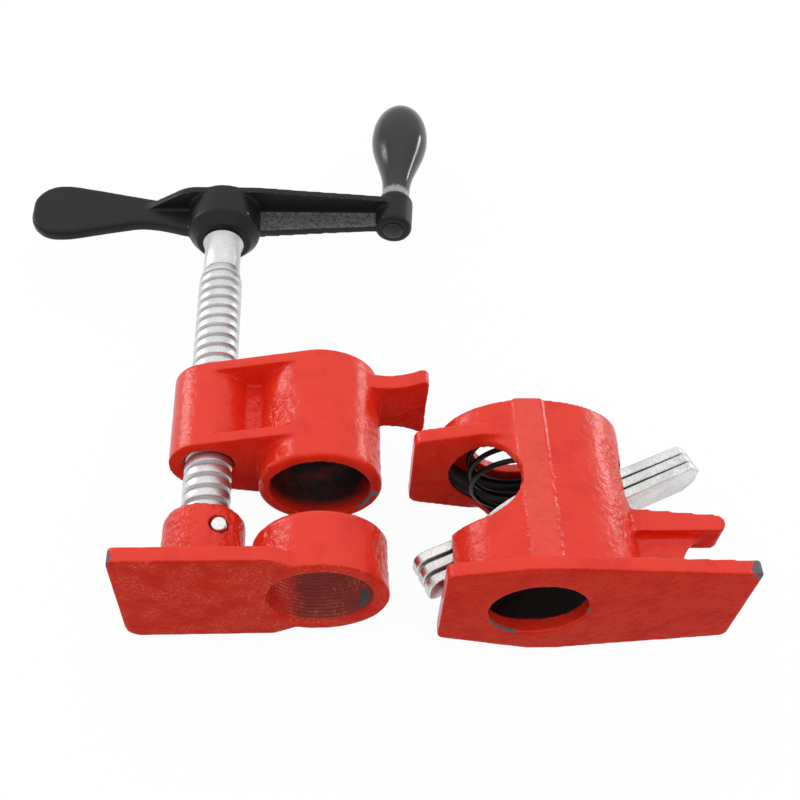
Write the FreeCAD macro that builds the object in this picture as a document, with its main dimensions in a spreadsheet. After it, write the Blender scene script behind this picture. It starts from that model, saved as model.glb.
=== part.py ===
"""A clamp for a 3/4 inch pipe, as it lies on a bench: the head with its screw, and the tail jaw.

X points to the right, Y from the jaws to the crank, and Z up. The origin is the middle of the
pipe socket's mouth on the fixed head. Lengths are in millimetres and angles in degrees.
"""
import FreeCAD, Part
import math
import os
import re
import types

import Sketcher

document = FreeCAD.newDocument("PipeClamp")

# The driving sizes, one table for each casting or set of pieces
FIXED_HEAD_SIZES = {
    "head_length": 39,
    "socket_barrel_radius": 18.4,
    "socket_radius": 14.6,
    "socket_depth": 19,
    "socket_step": 2,
    "pipe_thread_radius": 12.3,
    "screw_offset": 33,
    "screw_barrel_radius": 11.8,
    "screw_barrel_start": 8.4,
    "screw_mouth_chamfer": 1.1,
    "front_rib_width": 3.8,
    "rear_rib_width": 4,
    "head_web_half": 5,
    "head_rounding": 1.6,
    "rib_rounding": 1,
    "foot_start": 29.5,
    "foot_width": 5.3,
    "foot_reach": 33.3,
    "foot_waist_reach": 22.5,
    "foot_waist_half": 10.5,
    "foot_end_half": 13.5,
    "foot_corner_radius": 2.4,
}
MOVING_JAW_SIZES = {
    "jaw_gap": 35.2,
    "jaw_plate_width": 4.8,
    "jaw_plate_reach": 55.5,
    "jaw_plate_half": 22.4,
    "jaw_plate_straight_reach": 13.5,
    "jaw_top_corner_radius": 2.2,
    "jaw_bottom_corner_radius": 5,
    "pipe_eye_radius": 19.4,
    "pipe_eye_depth": 17.7,
    "pipe_eye_bore_radius": 14.7,
    "pipe_eye_rounding": 2,
    "boss_radius": 12,
    "boss_depth": 26.3,
    "boss_rounding": 4.2,
    "boss_floor": 8,
    "boss_mouth_radius": 8,
    "boss_mouth_depth": 2,
    "jaw_root_fillet": 2.5,
    "pin_radius": 2.3,
    "pin_half_length": 10.6,
    "pin_offset": 5,
    "pin_from_face": 18.2,
    "pin_chamfer": 0.4,
}
SCREW_SIZES = {
    "thread_radius": 7.05,
    "thread_end": 85.9,
    "nose_radius": 6,
    "nose_chamfer": 0.8,
    "groove_half": 2.45,
    "groove_root_radius": 2.6,
    "neck_radius": 6.05,
    "thread_run_out": 1.2,
    "peened_head_radius": 7.6,
    "peened_head_width": 1.3,
}
CRANK_SIZES = {
    "hub_start": 99.7,
    "hub_nose_radius": 9,
    "hub_shoulder": 104,
    "hub_end": 116.3,
    "hub_radius": 12.3,
    "hub_rounding": 0.8,
    "arm_plate_width": 2.9,
    "arm_root_half": 11,
    "arm_tip_half": 7.4,
    "arm_web_half": 1.5,
    "arm_web_root": 103.8,
    "arm_web_tip": 107.4,
    "crank_radius": 59.5,
    "knob_lean": 5.2,
    "end_boss_radius": 6.6,
    "end_boss_start": 106.4,
    "end_boss_end": 120.8,
    "end_boss_rounding": 1.8,
    "paddle_half_thickness": 2.35,
    "paddle_reach": 66,
    "paddle_half_width": 11.9,
    "paddle_middle": 113.8,
    "paddle_widest_reach": 53,
    "paddle_waist_reach": 27,
    "paddle_waist_half": 6,
    "paddle_rounding": 1.6,
    "paddle_shoulder_reach": 12.5,
}
KNOB_SIZES = {
    "knob_length": 47.5,
    "knob_radius": 10.4,
    "knob_widest": 31.5,
    "knob_base_radius": 5.2,
    "knob_neck_radius": 4.85,
    "knob_neck": 6,
    "knob_recess_radius": 3.7,
    "knob_recess_depth": 2.4,
    "rivet_radius": 2.5,
    "rivet_head_radius": 3.5,
    "rivet_head_width": 1.8,
    "rivet_peen_radius": 3.6,
    "rivet_peen_width": 1,
}
TAIL_JAW_SIZES = {
    "tail_place_x": 59.8,
    "tail_place_y": -41.1,
    "tail_place_z": 2.3,
    "tail_plate_width": 4.5,
    "tail_left_reach": 27,
    "tail_right_reach": 57.5,
    "tail_left_top": 20.8,
    "tail_left_bottom": 16.4,
    "tail_middle_top": 24.4,
    "tail_middle_bottom": 24.7,
    "tail_right_top": 19.9,
    "tail_right_bottom": 18,
    "tail_corner_radius": 3,
    "tail_length": 57.5,
    "tail_body_left": 24.6,
    "tail_body_right": 30.2,
    "tail_body_half": 20.6,
    "tail_wall": 3.2,
    "tail_rear_wall": 3.5,
    "tail_root_fillet": 2.2,
    "tail_bore_radius": 13.7,
    "crown_half_width": 4.5,
    "crown_half": 21.3,
    "window_radius": 12.2,
    "window_middle": 32.9,
    "window_reach": 16.6,
    "ear_width": 4.6,
    "ear_reach": 33,
    "ear_end_half": 16,
    "ear_root_half": 20.4,
    "ear_root_reach": 14,
    "ear_corner_radius": 3.5,
    "lug_reach": 56.3,
    "lug_front": 21.8,
    "lug_root_rear": 30,
    "lug_tip_rear": 27,
    "lug_half": 5.5,
    "lug_tip_radius": 3.6,
    "lug_root_reach": 25.5,
    "lug_web_half": 1.5,
    "lug_web_plate_reach": 42.7,
    "lug_web_tip_reach": 49.1,
    "lug_web_radius": 11,
    "tongue_slot_front": 5.2,
    "slot_clearance": 0.7,
    "tab_slot_front": 31.7,
    "tab_slot_rear": 44.6,
    "tab_bevel_relief": 2,
    "casting_rounding": 1,
}
CLUTCH_SIZES = {
    "clutch_pivot_reach": 27,
    "clutch_width": 2.8,
    "clutch_gap": 0.45,
    "clutch_tilt": 24.6,
    "clutch_tilt_step": 0.5,
    "clutch_bore_radius": 13.65,
    "clutch_disc_radius": 16.9,
    "clutch_tab_half": 6.3,
    "clutch_tab_reach": 56.3,
    "clutch_tab_chamfer": 3.4,
    "clutch_tongue_half": 5.1,
    "clutch_tongue_reach": 34.9,
    "clutch_tongue_corner": 3.4,
    "clutch_neck_reach": 27.6,
    "spring_wire_radius": 0.8,
    "spring_radius": 15.2,
    "spring_front": 38.7,
    "spring_turns": 3,
}
FIT_SIZES = {
    "running_clearance": 0.05,
    "seat_clearance": 0.3,
    "cut_overrun": 20,
}


def fill_sheet(tables):
    """Write every driving size in the sheet, one row each, and return the sheet's own values."""
    sheet = document.addObject("Spreadsheet::Sheet", "Sizes")
    row = 0
    for table in tables:
        for name, value in table.items():
            row += 1
            sheet.set(f"A{row}", name)
            sheet.set(f"B{row}", str(value))
            sheet.setAlias(f"B{row}", name)
    document.recompute()
    names = [name for table in tables for name in table]
    return types.SimpleNamespace(**{name: float(sheet.get(name)) for name in names})


size = fill_sheet((FIXED_HEAD_SIZES, MOVING_JAW_SIZES, SCREW_SIZES, CRANK_SIZES, KNOB_SIZES,
                   TAIL_JAW_SIZES, CLUTCH_SIZES, FIT_SIZES))


def bind(target, path, text):
    """Tie a property to the sheet; text is a sum of size names, such as 'head_length - rear_rib_width'."""
    target.setExpression(path, re.sub(r"[a-z][a-z_]+", lambda word: "Sizes." + word.group(), text))


def point(x, y):
    """A point of a sketch."""
    return FreeCAD.Vector(x, y, 0)


def line(start, end):
    """A straight edge of a sketch."""
    return Part.LineSegment(start, end)


def rounded_outline(corners):
    """The closed outline through corners, each an x, a y and the radius that rounds it."""
    starts = []
    ends = []
    arcs = []
    count = len(corners)
    for index, (x, y, radius) in enumerate(corners):
        here = point(x, y)
        before = point(*corners[index - 1][:2]) - here
        after = point(*corners[(index + 1) % count][:2]) - here
        before.normalize()
        after.normalize()
        half_turn = (math.pi - before.getAngle(after)) / 2
        setback = radius * math.tan(half_turn)
        starts.append(here + before * setback)
        ends.append(here + after * setback)
        if radius:
            inward = before + after
            inward.normalize()
            middle = here + inward * (radius / math.cos(half_turn) - radius)
            arcs.append(Part.Arc(starts[-1], middle, ends[-1]))
    sides = [line(ends[index - 1], starts[index]) for index in range(count)]
    return sides + arcs


def mirrored_outline(corners):
    """The outline of corners above the X axis and of the same corners below it."""
    return rounded_outline(corners + [(x, -y, radius) for x, y, radius in reversed(corners)])


def belt_outline(left_x, left_radius, right_radius):
    """The outline of a belt round a circle at left_x and a larger one at the origin."""
    lean = math.asin((right_radius - left_radius) / abs(left_x))
    up = point(-math.sin(lean), math.cos(lean))
    down = point(-math.sin(lean), -math.cos(lean))
    left = point(left_x, 0)
    left_top = left + up * left_radius
    left_bottom = left + down * left_radius
    right_top = up * right_radius
    right_bottom = down * right_radius
    return [
        line(left_top, right_top),
        Part.Arc(right_top, point(right_radius, 0), right_bottom),
        line(right_bottom, left_bottom),
        Part.Arc(left_bottom, point(left_x - left_radius, 0), left_top),
    ]


def egg_outline(left, right, half):
    """Two half ellipses of one height that meet over the origin."""
    left_oval = Part.Ellipse(point(0, 0), max(left, half), min(left, half))
    right_oval = Part.Ellipse(point(0, 0), max(right, half), min(right, half))
    quarter = math.pi / 2
    return [
        Part.ArcOfEllipse(left_oval, quarter, 3 * quarter),
        Part.ArcOfEllipse(right_oval, -quarter, quarter),
    ]


def new_body(name):
    """A body for one piece, named as its node."""
    body = document.addObject("PartDesign::Body", name)
    body.Label = name
    return body


def add_sketch(body, name, plane, edges):
    """A sketch of edges on one of the body's own planes."""
    sketch = body.newObject("Sketcher::SketchObject", name)
    origin_plane = [item for item in body.Origin.OriginFeatures if item.Role == plane][0]
    sketch.AttachmentSupport = (origin_plane, [""])
    sketch.MapMode = "FlatFace"
    for edge in edges:
        sketch.addGeometry(edge)
    return sketch


def add_circle(body, name, radius):
    """A circle on the upright plane round the sketch's own origin, with its radius on the sheet."""
    circle = Part.Circle()
    circle.Radius = getattr(size, radius)
    sketch = add_sketch(body, name, "XZ_Plane", [circle])
    sketch.addConstraint(Sketcher.Constraint("Coincident", 0, 3, -1, 1))
    index = sketch.addConstraint(Sketcher.Constraint("Radius", 0, circle.Radius))
    sketch.renameConstraint(index, "radius")
    bind(sketch, "Constraints.radius", radius)
    return sketch


def extrude(body, kind, sketch, start, length):
    """Pad or pocket an upright sketch along +Y, from start over length, both sums on the sheet."""
    bind(sketch, "AttachmentOffset.Base.z", f"-({start})")
    feature = body.newObject(kind, sketch.Name + "Form")
    feature.Profile = sketch
    bind(feature, "Length", length)
    feature.Reversed = kind == "PartDesign::Pad"
    sketch.Visibility = False
    return feature


def extrude_level(body, kind, sketch, half):
    """Pad or pocket a level sketch to half above and half below it."""
    feature = body.newObject(kind, sketch.Name + "Form")
    feature.Profile = sketch
    feature.Midplane = True
    bind(feature, "Length", f"2 * ({half})")
    return feature


def turn(body, kind, name, axis_place, edges):
    """Revolve or groove a profile of radius and place round an axis along Y at axis_place."""
    sketch = add_sketch(body, name, "XY_Plane", edges)
    if axis_place:
        bind(sketch, "AttachmentOffset.Base.x", axis_place)
    feature = body.newObject(kind, name + "Form")
    feature.Profile = sketch
    feature.ReferenceAxis = (sketch, ["V_Axis"])
    feature.Angle = 360
    return feature


def turn_upright(body, name, edges):
    """Revolve a profile of radius and height round the body's own upright axis."""
    sketch = add_sketch(body, name, "XZ_Plane", edges)
    feature = body.newObject("PartDesign::Revolution", name + "Form")
    feature.Profile = sketch
    feature.ReferenceAxis = (sketch, ["V_Axis"])
    feature.Angle = 360
    return feature


def polygon(corners):
    """The closed outline of straight edges through corners."""
    return rounded_outline([(x, y, 0) for x, y in corners])


def round_edges(body, name, radius, wanted):
    """Fillet the edges of the body's last form that wanted picks."""
    document.recompute()
    base = body.Tip
    picked = [f"Edge{index}" for index, edge in enumerate(base.Shape.Edges, 1) if wanted(edge)]
    fillet = body.newObject("PartDesign::Fillet", name)
    fillet.Base = (base, picked)
    bind(fillet, "Radius", radius)
    document.recompute()
    return fillet


def lies_at(edge, y):
    """Whether the whole edge lies in the upright plane at y."""
    box = edge.BoundBox
    return abs(box.YMin - y) < 1e-4 and abs(box.YMax - y) < 1e-4


# The fixed head: a pipe socket and a nut barrel joined by a web and two ribs, with a foot
def make_fixed_head():
    body = new_body("fixed_head")
    socket = add_circle(body, "SocketBarrel", "socket_barrel_radius")
    extrude(body, "PartDesign::Pad", socket, "0", "head_length")
    round_edges(body, "SocketRimRound", "head_rounding", lambda edge: lies_at(edge, 0))
    nut_barrel = add_circle(body, "NutBarrel", "screw_barrel_radius")
    bind(nut_barrel, "AttachmentOffset.Base.x", "-screw_offset")
    extrude(body, "PartDesign::Pad", nut_barrel, "screw_barrel_start", "head_length - screw_barrel_start")
    belt = belt_outline(-size.screw_offset, size.screw_barrel_radius, size.socket_barrel_radius)
    extrude(body, "PartDesign::Pad", add_sketch(body, "FrontRib", "XZ_Plane", belt),
            "screw_barrel_start", "front_rib_width")
    extrude(body, "PartDesign::Pad", add_sketch(body, "RearRib", "XZ_Plane", belt),
            "head_length - rear_rib_width", "rear_rib_width")
    web = [(-size.screw_offset, size.head_web_half, 0), (0, size.head_web_half, 0)]
    extrude(body, "PartDesign::Pad", add_sketch(body, "Web", "XZ_Plane", mirrored_outline(web)),
            "screw_barrel_start", "head_length - screw_barrel_start")
    round_edges(body, "RearOutlineRound", "rib_rounding", lambda edge: lies_at(edge, size.head_length))
    foot_root = size.foot_end_half
    foot_start_x = math.sqrt(size.socket_barrel_radius ** 2 - foot_root ** 2) - size.head_rounding
    waist = point(size.foot_waist_reach, size.foot_waist_half)
    end = point(size.foot_reach - size.foot_corner_radius, size.foot_end_half)
    root = point(foot_start_x, foot_root)
    corner = size.foot_corner_radius
    corner_middle = point(size.foot_reach - corner * (1 - math.sqrt(0.5)),
                          size.foot_end_half - corner * (1 - math.sqrt(0.5)))
    side = point(size.foot_reach, size.foot_end_half - corner)

    def below(place):
        return point(place.x, -place.y)

    foot = [
        Part.Arc(root, waist, end),
        Part.Arc(end, corner_middle, side),
        line(side, below(side)),
        Part.Arc(below(side), below(corner_middle), below(end)),
        Part.Arc(below(end), below(waist), below(root)),
        line(below(root), root),
    ]
    extrude(body, "PartDesign::Pad", add_sketch(body, "Foot", "XZ_Plane", foot),
            "foot_start", "foot_width")
    socket_bore = polygon([
        (0, -size.cut_overrun),
        (size.socket_radius, -size.cut_overrun),
        (size.socket_radius, size.socket_depth),
        (size.pipe_thread_radius, size.socket_depth + size.socket_step),
        (size.pipe_thread_radius, size.head_length + size.cut_overrun),
        (0, size.head_length + size.cut_overrun),
    ])
    turn(body, "PartDesign::Groove", "SocketBore", None, socket_bore)
    nut_radius = size.thread_radius + size.running_clearance
    overrun = size.cut_overrun
    nut_bore = polygon([
        (0, size.screw_barrel_start - overrun),
        (nut_radius + size.screw_mouth_chamfer + overrun, size.screw_barrel_start - overrun),
        (nut_radius, size.screw_barrel_start + size.screw_mouth_chamfer),
        (nut_radius, size.head_length - size.screw_mouth_chamfer),
        (nut_radius + size.screw_mouth_chamfer + overrun, size.head_length + overrun),
        (0, size.head_length + overrun),
    ])
    turn(body, "PartDesign::Groove", "NutBore", "-screw_offset", nut_bore)
    return body


# The moving jaw: a jaw plate with the pipe's eye, and the boss that the screw's nose turns in
def make_moving_jaw():
    body = new_body("moving_jaw")
    eye_meets = math.sqrt(size.pipe_eye_radius ** 2 - size.jaw_top_corner_radius ** 2)
    slope_end = size.jaw_plate_straight_reach / 2
    eye_half = math.sqrt(size.pipe_eye_radius ** 2 - slope_end ** 2)
    plate = rounded_outline([
        (-size.jaw_plate_reach, size.jaw_plate_half, size.jaw_top_corner_radius),
        (-size.jaw_plate_straight_reach, size.jaw_plate_half, size.jaw_bottom_corner_radius),
        (-slope_end, eye_half, 0),
        (0, eye_meets, 0),
        (0, -eye_meets, 0),
        (-slope_end, -eye_half, 0),
        (-size.jaw_plate_straight_reach, -size.jaw_plate_half, size.jaw_bottom_corner_radius),
        (-size.jaw_plate_reach, -size.jaw_plate_half, size.jaw_bottom_corner_radius),
    ])
    extrude(body, "PartDesign::Pad", add_sketch(body, "JawPlate", "XZ_Plane", plate),
            "0", "jaw_plate_width")
    boss = rounded_outline([
        (0, 0, 0),
        (size.boss_radius, 0, 0),
        (size.boss_radius, size.boss_depth, size.boss_rounding),
        (0, size.boss_depth, 0),
    ])
    turn(body, "PartDesign::Revolution", "Boss", "-screw_offset", boss)

    def at_boss_root(edge):
        middle = edge.CenterOfMass
        off_axis = math.hypot(middle.x + size.screw_offset, middle.z)
        return lies_at(edge, size.jaw_plate_width) and off_axis < size.boss_radius

    round_edges(body, "BossRootRound", "jaw_root_fillet", at_boss_root)
    eye = rounded_outline([
        (0, 0, 0),
        (size.pipe_eye_radius, 0, 0),
        (size.pipe_eye_radius, size.pipe_eye_depth, size.pipe_eye_rounding),
        (0, size.pipe_eye_depth, 0),
    ])
    turn(body, "PartDesign::Revolution", "PipeEye", None, eye)
    extrude(body, "PartDesign::Pocket", add_circle(body, "EyeBore", "pipe_eye_bore_radius"),
            "0", "pipe_eye_depth + cut_overrun")
    nose_bore = size.nose_radius + size.running_clearance
    nose_bed = polygon([
        (0, size.boss_floor),
        (nose_bore, size.boss_floor),
        (nose_bore, size.boss_depth - size.boss_mouth_depth),
        (size.boss_mouth_radius, size.boss_depth - size.boss_mouth_depth),
        (size.boss_mouth_radius, size.boss_depth + size.cut_overrun),
        (0, size.boss_depth + size.cut_overrun),
    ])
    turn(body, "PartDesign::Groove", "NoseBore", "-screw_offset", nose_bed)
    pin_hole = Part.Circle()
    pin_hole.Center = point(size.pin_offset - size.screw_offset, size.pin_from_face)
    pin_hole.Radius = size.pin_radius + size.running_clearance
    extrude_level(body, "PartDesign::Pocket", add_sketch(body, "PinHole", "XY_Plane", [pin_hole]),
                  "boss_radius + cut_overrun")
    bind(body, "Placement.Base.y", "-jaw_gap")
    return body


def make_jaw_retaining_pin():
    body = new_body("jaw_retaining_pin")
    pin = polygon([
        (0, -size.pin_half_length),
        (size.pin_radius - size.pin_chamfer, -size.pin_half_length),
        (size.pin_radius, size.pin_chamfer - size.pin_half_length),
        (size.pin_radius, size.pin_half_length - size.pin_chamfer),
        (size.pin_radius - size.pin_chamfer, size.pin_half_length),
        (0, size.pin_half_length),
    ])
    turn_upright(body, "Pin", pin)
    bind(body, "Placement.Base.x", "pin_offset - screw_offset")
    bind(body, "Placement.Base.y", "pin_from_face - jaw_gap")
    return body


def make_spindle():
    """The screw: nose and groove in the boss, thread through the nut, neck and peened head."""
    body = new_body("spindle")
    face = -size.jaw_gap
    nose_end = face + size.boss_floor + size.seat_clearance
    groove_middle = face + size.pin_from_face
    thread_start = face + size.boss_depth - size.boss_mouth_depth + size.seat_clearance
    head_start = size.hub_end
    head_end = head_start + size.peened_head_width
    screw = rounded_outline([
        (0, nose_end, 0),
        (size.nose_radius - size.nose_chamfer, nose_end, 0),
        (size.nose_radius, nose_end + size.nose_chamfer, 0),
        (size.nose_radius, groove_middle - size.groove_half, 0),
        (size.groove_root_radius, groove_middle - size.groove_half, 0),
        (size.groove_root_radius, groove_middle + size.groove_half, 0),
        (size.nose_radius, groove_middle + size.groove_half, 0),
        (size.nose_radius, thread_start, 0),
        (size.thread_radius, thread_start, 0),
        (size.thread_radius, size.thread_end - size.thread_run_out, 0),
        (size.neck_radius, size.thread_end, 0),
        (size.neck_radius, head_start, 0),
        (size.peened_head_radius, head_start, 0),
        (size.peened_head_radius, head_end, size.peened_head_width / 2),
        (0, head_end, 0),
    ])
    turn(body, "PartDesign::Revolution", "Screw", None, screw)
    bind(body, "Placement.Base.x", "-screw_offset")
    return body


def lean_sketch(feature):
    """Tilt a turned form of the crank about the middle of the arm's end, to the knob's axis."""
    sketch = feature.Profile[0]
    axis = FreeCAD.Rotation(FreeCAD.Vector(0, 0, 1), -size.knob_lean)
    pivot = point(size.crank_radius, size.hub_end)
    foot = pivot - axis.multVec(point(0, size.hub_end))
    sketch.AttachmentOffset = FreeCAD.Placement(foot, axis)


# The crank: a hub on the screw, a ribbed arm to the knob and a flat paddle on the other side
def make_crank_handle():
    """The crank casting; its body stands on the screw's axis."""
    body = new_body("crank_handle")
    waist_front = size.paddle_middle - size.paddle_waist_half
    waist_rear = size.paddle_middle + size.paddle_waist_half
    wide_front = size.paddle_middle - size.paddle_half_width
    wide_rear = size.paddle_middle + size.paddle_half_width
    shoulder = size.paddle_reach - size.paddle_half_width
    paddle = rounded_outline([
        (0, size.arm_web_root, 0),
        (-size.paddle_shoulder_reach, size.arm_web_root, 0),
        (-size.paddle_waist_reach, waist_front, size.paddle_half_width * 2),
        (-size.paddle_widest_reach, wide_front, size.paddle_half_width * 2),
        (-size.paddle_reach, wide_front, size.paddle_half_width * 0.8),
        (-size.paddle_reach, wide_rear, size.paddle_half_width * 0.8),
        (-size.paddle_widest_reach, wide_rear, size.paddle_half_width * 2),
        (-size.paddle_waist_reach, waist_rear, size.paddle_half_width * 2),
        (-size.paddle_shoulder_reach, size.hub_end, 0),
        (0, size.hub_end, 0),
    ])
    extrude_level(body, "PartDesign::Pad", add_sketch(body, "Paddle", "XY_Plane", paddle),
                  "paddle_half_thickness")
    round_edges(body, "PaddleRound", "paddle_rounding",
                lambda edge: edge.BoundBox.ZLength < size.paddle_half_thickness)
    hub = rounded_outline([
        (0, size.hub_start, 0),
        (size.hub_nose_radius, size.hub_start, size.hub_rounding),
        (size.hub_radius, size.hub_shoulder, size.hub_rounding),
        (size.hub_radius, size.hub_end, size.hub_rounding),
        (0, size.hub_end, 0),
    ])
    turn(body, "PartDesign::Revolution", "Hub", None, hub)
    plate_tip = size.crank_radius - size.end_boss_radius / 2
    arm_plate = mirrored_outline([
        (-size.paddle_waist_reach, size.paddle_half_thickness, 0),
        (-size.paddle_shoulder_reach, size.arm_root_half, size.arm_root_half),
        (size.paddle_shoulder_reach, size.arm_root_half, size.arm_root_half),
        (plate_tip, size.arm_tip_half, size.end_boss_radius / 2),
        (size.crank_radius + size.end_boss_radius / 2, size.arm_tip_half / 2, size.end_boss_radius / 2),
    ])
    extrude(body, "PartDesign::Pad", add_sketch(body, "ArmPlate", "XZ_Plane", arm_plate),
            "hub_end - arm_plate_width", "arm_plate_width")
    web = polygon([
        (0, size.arm_web_root),
        (size.crank_radius, size.arm_web_tip),
        (size.crank_radius, size.hub_end),
        (0, size.hub_end),
    ])
    extrude_level(body, "PartDesign::Pad", add_sketch(body, "ArmWeb", "XY_Plane", web), "arm_web_half")
    rivet_bore = size.rivet_radius + size.running_clearance
    end_boss = rounded_outline([
        (0, size.end_boss_start, 0),
        (size.end_boss_radius, size.end_boss_start, size.end_boss_rounding),
        (size.end_boss_radius, size.end_boss_end, size.end_boss_rounding),
        (0, size.end_boss_end, 0),
    ])
    lean_sketch(turn(body, "PartDesign::Revolution", "EndBoss", None, end_boss))
    knob_bore = polygon([
        (0, size.end_boss_start - size.cut_overrun),
        (rivet_bore, size.end_boss_start - size.cut_overrun),
        (rivet_bore, size.end_boss_end + size.cut_overrun),
        (0, size.end_boss_end + size.cut_overrun),
    ])
    lean_sketch(turn(body, "PartDesign::Groove", "KnobBore", None, knob_bore))
    neck_bore = size.neck_radius + size.running_clearance
    hub_bore = polygon([
        (0, size.hub_start - size.cut_overrun),
        (neck_bore, size.hub_start - size.cut_overrun),
        (neck_bore, size.hub_end + size.cut_overrun),
        (0, size.hub_end + size.cut_overrun),
    ])
    turn(body, "PartDesign::Groove", "HubBore", None, hub_bore)
    bind(body, "Placement.Base.x", "-screw_offset")
    return body


def knob_profile():
    """The teardrop from its base on the arm to its rounded end, with the rivet's bore and recess."""
    bore = size.rivet_radius + size.running_clearance
    base = size.end_boss_end + size.seat_clearance
    end = base + size.knob_length
    recess = end - size.knob_recess_depth
    neck = point(size.knob_neck_radius, base + size.knob_neck)
    widest = point(size.knob_radius, base + size.knob_widest)
    side = Part.BSplineCurve()
    side.interpolate(Points=[point(size.knob_base_radius, base), neck, widest,
                             point(size.knob_recess_radius, end)],
                     Tangents=[point(-0.2, 1), point(0, 1), point(0, 1), point(-1, 0.25)],
                     TangentFlags=[True, True, True, True])
    return [
        side,
        line(point(size.knob_recess_radius, end), point(size.knob_recess_radius, recess)),
        line(point(size.knob_recess_radius, recess), point(bore, recess)),
        line(point(bore, recess), point(bore, base)),
        line(point(bore, base), point(size.knob_base_radius, base)),
    ]


def lean_body(body):
    """Stand a turned piece on the knob's axis, which leans outward at the end of the arm."""
    axis = FreeCAD.Rotation(FreeCAD.Vector(0, 0, 1), -size.knob_lean)
    pivot = point(size.crank_radius - size.screw_offset, size.hub_end)
    body.Placement = FreeCAD.Placement(pivot - axis.multVec(point(0, size.hub_end)), axis)


def make_crank_knob():
    body = new_body("crank_knob")
    turn(body, "PartDesign::Revolution", "Teardrop", None, knob_profile())
    lean_body(body)
    return body


def make_knob_rivet():
    """The rivet: its head in the knob's recess, its shank through the boss and its peened end."""
    body = new_body("knob_rivet")
    knob_end = size.end_boss_end + size.seat_clearance + size.knob_length
    head_start = knob_end - size.knob_recess_depth + size.seat_clearance
    head_end = head_start + size.rivet_head_width
    peen_end = size.end_boss_start - size.rivet_peen_width
    rivet = rounded_outline([
        (0, peen_end, 0),
        (size.rivet_peen_radius, peen_end, size.rivet_peen_width / 2),
        (size.rivet_peen_radius, size.end_boss_start, 0),
        (size.rivet_radius, size.end_boss_start, 0),
        (size.rivet_radius, head_start, 0),
        (size.rivet_head_radius, head_start, 0),
        (size.rivet_head_radius, head_end, size.rivet_head_width / 2),
        (0, head_end, 0),
    ])
    turn(body, "PartDesign::Revolution", "Rivet", None, rivet)
    lean_body(body)
    return body


def tail_outline():
    """The tail jaw's plate: low at the left, highest at the pipe, long and low at the right."""
    corner = size.tail_corner_radius
    left = -size.tail_left_reach
    crown = size.crown_half_width
    return rounded_outline([
        (left, size.tail_left_top, corner),
        (-crown, size.tail_middle_top, corner * 2),
        (crown, size.tail_middle_top, corner * 2),
        (size.tail_right_reach, size.tail_right_top, corner / 3),
        (size.tail_right_reach, -size.tail_right_bottom, corner),
        (crown * 2, -size.tail_middle_bottom, corner * 2),
        (0, -size.tail_middle_bottom, corner * 2),
        (left, -size.tail_left_bottom, corner),
    ])


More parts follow.
